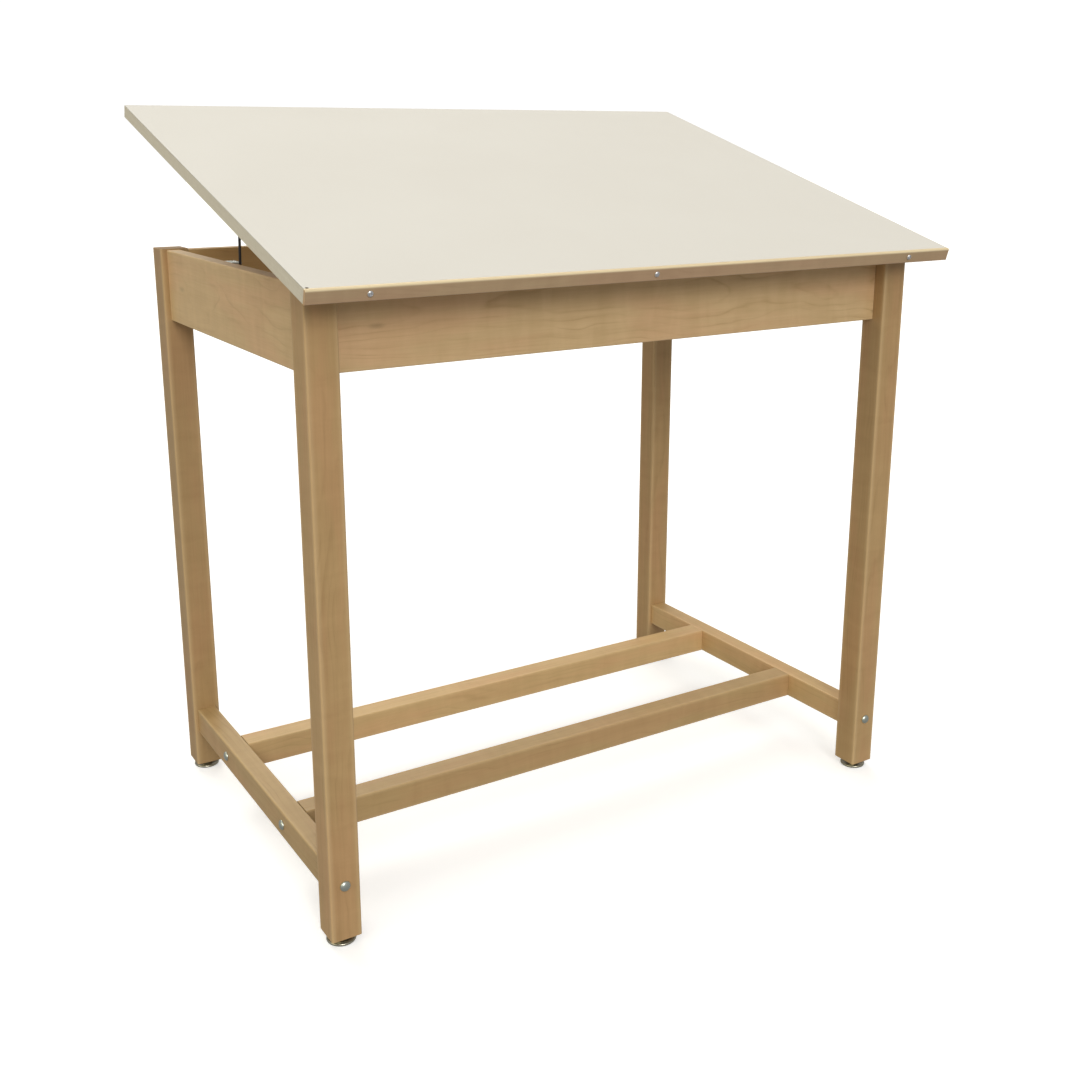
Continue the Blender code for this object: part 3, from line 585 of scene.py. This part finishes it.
def glide(end, side):
    node = f"glide_{end}_{side}"
    low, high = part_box(node)
    centre = (low + high) / 2
    place = Matrix.Translation((centre.x, centre.y, low.z))
    radius = (high.x - low.x) / 2
    height = high.z - low.z
    mesh = bmesh.new()
    underside = [(0.0, 0.0), (radius - 0.0030, 0.0), (radius - 0.0016, 0.0002)]
    lip = [(radius - 0.0006, 0.0009), (radius, 0.0020), (radius - 0.0001, 0.0034),
           (radius - 0.0005, 0.0041), (radius - 0.0011, 0.0044), (radius - 0.0017, 0.0042),
           (radius - 0.0022, 0.0036), (radius - 0.0034, 0.0027)]
    dish = [(0.0110, 0.0023), (0.0092, 0.0026), (0.0081, 0.0034), (0.0, 0.0034)]
    spin(mesh, underside + lip + dish, place, 72)
    collar = [(0.0, 0.0030), (COLLAR_RADIUS, 0.0030), (COLLAR_RADIUS, COLLAR_TOP - 0.0006),
              (COLLAR_RADIUS - 0.0005, COLLAR_TOP), (0.0, COLLAR_TOP)]
    spin(mesh, collar, place, 6)
    stem = [(0.0, COLLAR_TOP - 0.0002), (STEM_RADIUS - 0.0004, COLLAR_TOP - 0.0002)]
    stem += thread(STEM_RADIUS, M8_DEPTH, COLLAR_TOP, height - 0.001, M8_PITCH)
    stem += [(STEM_RADIUS - 0.0010, height), (0.0, height)]
    spin(mesh, stem, place, 36)
    mesh_piece(f"{node}_detail", mesh, NICKEL, node, (node,))


for end, side in CORNERS:
    glide(end, side)


# Screws: a pan head with a cross recess, and where the CAD has a shank, a threaded one.

WOOD_SCREW_RADIUS = 0.0015
RECESS_TURN = 0.4    # radians, so that the crosses don't stand square


def screw(name, place, direction, radius, height, body, look=ZINC, stands_for=(), shank=0.0):
    """The head's flat side is at place and its crown faces against direction."""
    mesh = bmesh.new()
    matrix = aimed(direction, place)
    points = dome(radius, height, height * 0.22, 8)
    if shank:
        points += [(WOOD_SCREW_RADIUS, 0.0002)]
        points += thread(WOOD_SCREW_RADIUS, 0.0003, 0.001, shank - 0.003, 0.0012)
    spin(mesh, points + [(0.0, shank)], matrix, 32)
    piece = mesh_piece(name, mesh, look, body, stands_for)

    # Two crossed bars cut the recess, and the cut faces are kept.
    bars = bmesh.new()
    size = Matrix.Diagonal((radius * 1.24, radius * 0.22, height * 1.1, 1.0))
    for turn in (0.0, math.pi / 2):
        spot = matrix @ Matrix.Rotation(turn + RECESS_TURN, 4, "Z")
        spot = spot @ Matrix.Translation((0, 0, -height))
        bmesh.ops.create_cube(bars, size=1.0, matrix=spot @ size)
    data = bpy.data.meshes.new(name + "_recess")
    bars.to_mesh(data)
    bars.free()
    cutter = bpy.data.objects.new(name + "_recess", data)
    bpy.context.scene.collection.objects.link(cutter)
    cut = piece.modifiers.new("recess", "BOOLEAN")
    cut.object = cutter
    cut.use_self = True
    bpy.context.view_layer.update()
    graph = bpy.context.evaluated_depsgraph_get()
    kept = bpy.data.meshes.new_from_object(piece.evaluated_get(graph))
    piece.modifiers.clear()
    piece.data = kept
    smooth(kept, DRAWN_CREASE)
    bpy.data.objects.remove(cutter)


STRIP_SCREW_SEAT = 0.0026    # the head's flat side, from the front of the CAD screw
STRIP_SCREW_LENGTH = 0.022

for number in (1, 2, 3):
    node = f"strip_screw_{number}"
    middle, half = local_box(node, TILT)
    seat = Vector((middle.x, middle.y - half.y + STRIP_SCREW_SEAT, middle.z))
    screw(f"{node}_detail", Matrix.Rotation(TILT, 3, "X") @ seat, UP_SLOPE, 0.0040, 0.0024, "board",
          SCREW_ZINC, (node,), STRIP_SCREW_LENGTH)


# The fittings' own screws, which the CAD leaves out as too small.

PLATE = 0.0020    # the thickness of the brackets' plates

for side in SIDES:
    sx = SIDES[side]
    middle, half = local_box(f"board_bracket_{side}", TILT)
    for number, along in enumerate((-0.012, 0.012), 1):
        spot = Vector((middle.x - sx * 0.004, middle.y + along, middle.z + half.z - PLATE))
        screw(f"board_bracket_{side}_screw_{number}", Matrix.Rotation(TILT, 3, "X") @ spot,
              OFF_BOARD, 0.0036, 0.0022, "board", SCREW_ZINC)
    low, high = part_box(f"clamp_bracket_{side}")
    plate_x = (high.x if sx > 0 else low.x) - sx * PLATE
    for number, above in enumerate((-0.008, 0.006), 1):
        spot = Vector((plate_x, high.y - 0.009, (low.z + high.z) / 2 + above))
        screw(f"clamp_bracket_{side}_screw_{number}", spot, (sx, 0, 0), 0.0034, 0.0020, "frame",
              SCREW_ZINC)

# The hinges' countersunk screws stand a hair proud and are staggered, so that the leaves can close.
HINGE_SCREW_RADIUS = 0.0032
HINGE_SCREW_PROUD = 0.00012

for side in SIDES:
    low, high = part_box(f"hinge_pin_{side}")
    pin = (low + high) / 2
    for number, (across, behind) in enumerate(((-0.0105, 0.0245), (0.0105, 0.0145)), 1):
        spot = pin + Vector((across, behind, 0.0010))
        screw(f"hinge_frame_leaf_{side}_screw_{number}", spot, (0, 0, -1),
              HINGE_SCREW_RADIUS, HINGE_SCREW_PROUD, "frame")
        spot = pin + Vector((-across, 0, 0)) + behind * UP_SLOPE + 0.0013 * OFF_BOARD
        screw(f"hinge_board_leaf_{side}_screw_{number}", spot, OFF_BOARD,
              HINGE_SCREW_RADIUS, HINGE_SCREW_PROUD, "board")


# Clamp knobs: six soft lobes, a dished face and a plated screw.

KNOB_RADIUS = 0.012
KNOB_SCREW_RADIUS = 0.0025
LOBES = 6
LOBE_DEPTH = 0.07    # half the depth of the hollows, as a share of the radius
LOBE_END = 0.0092    # the hollows fade out towards this height
LOBE_TURN = math.radians(4.742)    # the rod's lean at rest, which the CAD knob follows


def lobes(angle, height):
    depth = LOBE_DEPTH * min(1.0, max(0.0, (LOBE_END - height) / 0.0020))
    return 1.0 - depth * (1 - math.cos(LOBES * (angle + LOBE_TURN)))


def knob(side):
    node = f"clamp_knob_{side}"
    sx = SIDES[side]
    low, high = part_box(node)
    centre = (low + high) / 2
    outer = Vector((low.x if sx > 0 else high.x, centre.y, centre.z))
    place = aimed((sx, 0, 0), outer)
    face = [(0.0, 0.0012), (0.0035, 0.0010), (0.0060, 0.0004), (0.0078, 0.0000), (0.0092, 0.0001),
            (0.0104, 0.0005), (0.0113, 0.0012), (0.0118, 0.0021)]
    grip = [(KNOB_RADIUS, 0.0032), (KNOB_RADIUS, 0.0056)]
    back = [(0.0118, 0.0066), (0.0112, 0.0072), (0.0100, 0.0076), (0.0080, 0.0080),
            (0.0070, 0.0086), (0.0066, 0.0100), (0.0, 0.0100)]
    mesh = bmesh.new()
    spin(mesh, face + grip + back, place, 120, lobes)
    mesh_piece(f"{node}_body", mesh, PLASTIC, f"knob_{side}", (node,))
    length = high.x - low.x
    stem = [(0.0, 0.0090), (KNOB_SCREW_RADIUS, 0.0090)]
    stem += thread(KNOB_SCREW_RADIUS, 0.0004, 0.0095, length - 0.0008, 0.0008)
    stem += [(KNOB_SCREW_RADIUS - 0.0008, length), (0.0, length)]
    mesh = bmesh.new()
    spin(mesh, stem, place, 32)
    mesh_piece(f"{node}_screw", mesh, ZINC, f"knob_{side}")


for side in SIDES:
    knob(side)


# Floor, light and camera.

FLOOR_SIZE = 30.0
FLOOR_DROP = 0.0002    # keeps the floor just clear of the glides
FLOOR_GLOW = 0.42

# The world's light from straight below and straight above, and how bright the backdrop looks.
WORLD_LOW = 0.26
WORLD_HIGH = 0.44
BACKDROP = 1.05

# Name, strength, angular size in degrees, the way the rays travel, and colour.
SUNS = (
    ("front", 1.12, 24.0, (0.25, 1.0, -0.45), (1.0, 0.99, 0.98)),
    ("high_front", 0.33, 40.0, (0.30, 0.55, -0.85), (1.0, 0.985, 0.955)),
    ("left", 0.60, 50.0, (1.0, 0.10, -0.5), (1.0, 0.95, 0.66)),
    ("high_back", 1.28, 50.0, (-0.15, -0.85, -1.0), (1.0, 0.975, 0.88)),
)

CAMERA_PLACE = (-1.0709, -1.7522, 1.0810)
CAMERA_YAW = math.radians(31.66)    # to the right of straight ahead
CAMERA_PITCH = math.radians(-14.405)
LENS = 42.53    # millimetres, on a sensor 36 wide
SENSOR = 36.0
SHIFT = -0.07


def floor():
    data = bpy.data.meshes.new("floor")
    mesh = bmesh.new()
    bmesh.ops.create_grid(mesh, x_segments=8, y_segments=8, size=FLOOR_SIZE)
    mesh.to_mesh(data)
    mesh.free()
    made = bpy.data.objects.new("floor", data)
    made.location.z = -FLOOR_DROP
    bpy.context.scene.collection.objects.link(made)
    graph = Graph("look_floor")
    paper = graph.noise(graph.coordinates(), 40.0, 3.0)
    graph.set(Base_Color=graph.mix(paper, *FLOOR_TONES), Roughness=0.9, Specular_IOR_Level=0.1,
              Emission_Color=(1.0, 1.0, 1.0, 1.0), Emission_Strength=FLOOR_GLOW)
    data.materials.append(graph.material)
    made.visible_diffuse = False
    made.visible_glossy = False


def world():
    made = bpy.data.worlds.new("studio")
    bpy.context.scene.world = made
    made.use_nodes = True
    nodes = made.node_tree.nodes
    links = made.node_tree.links
    nodes.clear()
    place = nodes.new("ShaderNodeTexCoord")
    parts = nodes.new("ShaderNodeSeparateXYZ")
    links.new(place.outputs["Generated"], parts.inputs[0])
    levels = nodes.new("ShaderNodeMapRange")
    levels.inputs["From Min"].default_value = -1.0
    levels.inputs["From Max"].default_value = 1.0
    levels.inputs["To Min"].default_value = WORLD_LOW
    levels.inputs["To Max"].default_value = WORLD_HIGH
    links.new(parts.outputs[2], levels.inputs["Value"])
    light = nodes.new("ShaderNodeBackground")
    light.inputs["Color"].default_value = (1.0, 0.99, 0.975, 1.0)
    links.new(levels.outputs[0], light.inputs["Strength"])
    seen = nodes.new("ShaderNodeBackground")
    seen.inputs["Color"].default_value = (1.0, 1.0, 1.0, 1.0)
    seen.inputs["Strength"].default_value = BACKDROP
    path = nodes.new("ShaderNodeLightPath")
    blend = nodes.new("ShaderNodeMixShader")
    links.new(path.outputs["Is Camera Ray"], blend.inputs[0])
    links.new(light.outputs[0], blend.inputs[1])
    links.new(seen.outputs[0], blend.inputs[2])
    out = nodes.new("ShaderNodeOutputWorld")
    links.new(blend.outputs[0], out.inputs[0])


def sun(name, strength, angle, towards, colour):
    """A broad parallel light; towards is the way its rays travel."""
    data = bpy.data.lights.new(name, "SUN")
    data.energy = strength
    data.angle = math.radians(angle)
    data.color = colour
    made = bpy.data.objects.new(name, data)
    made.rotation_mode = "QUATERNION"
    made.rotation_quaternion = Vector(towards).to_track_quat("-Z", "Y")
    bpy.context.scene.collection.objects.link(made)


def camera():
    data = bpy.data.cameras.new("camera")
    data.sensor_width = SENSOR
    data.lens = LENS
    data.shift_y = SHIFT
    data.clip_end = 200.0
    made = bpy.data.objects.new("camera", data)
    level = math.cos(CAMERA_PITCH)
    aim = Vector((math.sin(CAMERA_YAW) * level, math.cos(CAMERA_YAW) * level,
                  math.sin(CAMERA_PITCH)))
    made.location = CAMERA_PLACE
    made.rotation_mode = "QUATERNION"
    made.rotation_quaternion = aim.to_track_quat("-Z", "Y")
    bpy.context.scene.collection.objects.link(made)
    bpy.context.scene.camera = made


floor()
world()
for values in SUNS:
    sun(*values)
camera()
bpy.context.scene.view_settings.view_transform = "Standard"
